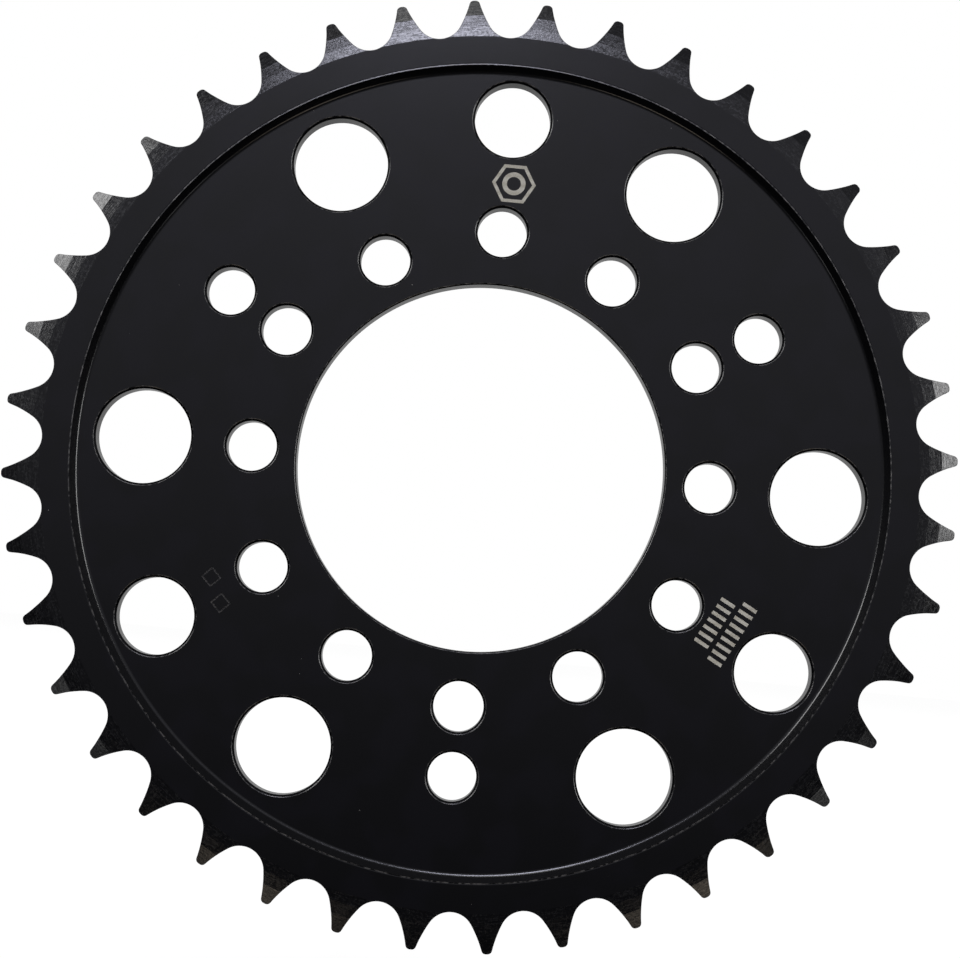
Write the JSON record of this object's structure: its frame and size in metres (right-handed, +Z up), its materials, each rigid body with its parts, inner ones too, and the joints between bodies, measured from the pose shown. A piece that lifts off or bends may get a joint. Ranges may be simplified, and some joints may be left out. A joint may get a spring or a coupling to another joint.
{
  "type": "motorcycle rear sprocket",
  "caption": "One-piece black anodised aluminium rear sprocket plate with a toothed rim, sunk web, central bore, two bolt circles and round lightening holes.",
  "frame": {"origin": "centre of the tooth circle, half-way through the toothed rim", "axes": "+Y along the spin axis, out of the flat back; the stepped front faces -Y; +Z up through a hole of the wide bolt circle"},
  "size_m": [0.2102, 0.006, 0.2102],
  "materials": {
    "black_anodised": "satin black hard anodised, turned"
  },
  "bodies": {
    "root": {"sprocket_plate": "black_anodised"}
  },
  "joints": []
}
